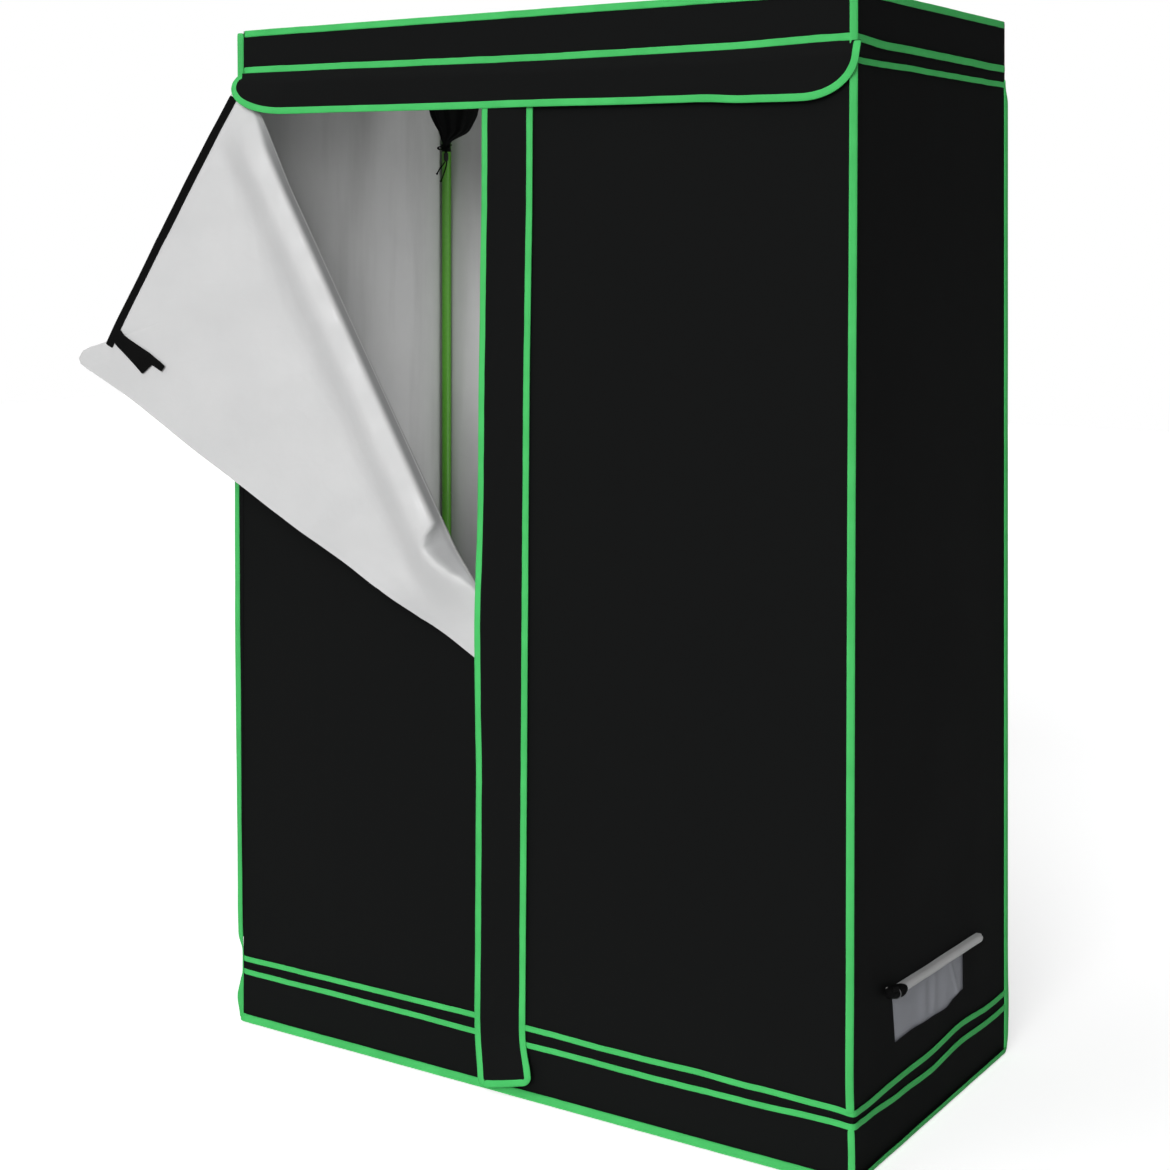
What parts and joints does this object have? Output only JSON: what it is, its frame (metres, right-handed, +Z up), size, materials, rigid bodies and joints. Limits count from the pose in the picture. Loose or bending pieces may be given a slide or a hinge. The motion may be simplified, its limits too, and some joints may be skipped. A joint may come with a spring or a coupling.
{
  "type": "indoor grow tent",
  "caption": "Tall black cloth tent on a plug-together tube frame, with a zipped front whose left corner is folded out, a storm flap and strip, a mesh vent, a roof duct sleeve and a floor tray.",
  "frame": {"origin": "middle of the footprint, on the ground", "axes": "+Z up, +X to the right and -Y towards whoever faces the zipped front"},
  "size_m": [1.5141, 0.7544, 1.8],
  "materials": {
    "black_cloth": "woven, coated",
    "silver_lining": "silver coated cloth",
    "green_binding": "ribbed tape",
    "green_powder_coat": "powder coat",
    "black_plastic": "moulded",
    "black_webbing": "woven tape",
    "grey_net": "fine net",
    "zip_metal": "dark metal"
  },
  "bodies": {
    "tent": {"floor_panel": "black_cloth", "roof_panel": "black_cloth", "back_wall": "black_cloth", "left_wall": "black_cloth", "right_wall": "black_cloth", "front_header": "black_cloth", "front_sill": "black_cloth", "front_right_panel": "black_cloth", "front_left_panel": "black_cloth", "cover_binding": "green_binding", "centre_zip": "black_webbing", "top_zip": "black_webbing", "vent_mesh": "grey_net", "duct_port_ring": "black_webbing", "corner_connector_bottom_front_left": "black_plastic", "long_rail_bottom_front_left": "green_powder_coat", "corner_connector_bottom_front_right": "black_plastic", "long_rail_bottom_front_right": "green_powder_coat", "corner_connector_bottom_back_left": "black_plastic", "long_rail_bottom_back_left": "green_powder_coat", "corner_connector_bottom_back_right": "black_plastic", "long_rail_bottom_back_right": "green_powder_coat", "side_rail_bottom_left": "green_powder_coat", "side_rail_bottom_right": "green_powder_coat", "corner_connector_top_front_left": "black_plastic", "long_rail_top_front_left": "green_powder_coat", "corner_connector_top_front_right": "black_plastic", "long_rail_top_front_right": "green_powder_coat", "corner_connector_top_back_left": "black_plastic", "long_rail_top_back_left": "green_powder_coat", "corner_connector_top_back_right": "black_plastic", "long_rail_top_back_right": "green_powder_coat", "side_rail_top_left": "green_powder_coat", "side_rail_top_right": "green_powder_coat", "post_lower_front_left": "green_powder_coat", "post_upper_front_left": "green_powder_coat", "post_lower_front_right": "green_powder_coat", "post_upper_front_right": "green_powder_coat", "post_lower_back_left": "green_powder_coat", "post_upper_back_left": "green_powder_coat", "post_lower_back_right": "green_powder_coat", "post_upper_back_right": "green_powder_coat"},
    "left_door": {"left_door_corner": "silver_lining", "door_zip_tape": "black_webbing", "door_tie_strap": "black_webbing"},
    "top_flap": {"top_zip_flap": "black_cloth", "top_flap_binding": "green_binding"},
    "centre_strip": {"centre_zip_strip": "black_cloth", "centre_strip_binding": "green_binding"},
    "centre_slider": {"centre_zip_slider": "zip_metal"},
    "top_slider": {"top_zip_slider": "zip_metal"},
    "bar_left": {"hanging_bar_left": "green_powder_coat"},
    "bar_right": {"hanging_bar_right": "green_powder_coat"},
    "tray": {"floor_tray": "black_cloth"},
    "vent_flap": {"vent_flap_roll": "silver_lining", "vent_tie": "black_webbing"},
    "sleeve": {"duct_sleeve": "black_cloth", "sleeve_drawstring": "black_webbing", "cord_lock": "black_plastic"}
  },
  "joints": [
    {"name": "left_door_fold", "type": "hinge", "parent": "tent", "child": "left_door", "pos_m": [-0.60651, -0.3077, 1.69196], "axis": [0.5117, -0.0039, -0.8592], "range_deg": [-165, 0], "deforming": ["left_door_corner", "door_zip_tape", "door_tie_strap"]},
    {"name": "top_flap_lift", "type": "hinge", "parent": "tent", "child": "top_flap", "pos_m": [0, -0.3084, 1.7232], "axis": [-1, 0, 0], "range_deg": [0, 140]},
    {"name": "centre_strip_swing", "type": "hinge", "parent": "tent", "child": "centre_strip", "pos_m": [0.017, -0.3084, 0.004], "axis": [0.0079, 0, 1], "range_deg": [0, 150]},
    {"name": "centre_zip_travel", "type": "slide", "parent": "tent", "child": "centre_slider", "axis": [0, 0, 1], "range_m": [-0.535, 0.945]},
    {"name": "top_zip_travel", "type": "slide", "parent": "tent", "child": "top_slider", "axis": [1, 0, 0], "range_m": [0, 0.493]},
    {"name": "bar_left_slide", "type": "slide", "parent": "tent", "child": "bar_left", "axis": [1, 0, 0], "range_m": [-0.1, 0.1]},
    {"name": "bar_right_slide", "type": "slide", "parent": "tent", "child": "bar_right", "axis": [1, 0, 0], "range_m": [-0.28, 0.22]},
    {"name": "tray_lift", "type": "slide", "parent": "tent", "child": "tray", "axis": [0, 0, 1], "range_m": [0, 0.3]},
    {"name": "vent_flap_swing", "type": "hinge", "parent": "tent", "child": "vent_flap", "pos_m": [0.6103, 0, 0.2535], "axis": [0, -1, 0], "range_deg": [0, 60]},
    {"name": "duct_sleeve_swing", "type": "hinge", "parent": "tent", "child": "sleeve", "pos_m": [-0.36, 0, 1.7981], "axis": [0, 1, 0], "range_deg": [-20, 20], "deforming": ["duct_sleeve"]}
  ]
}
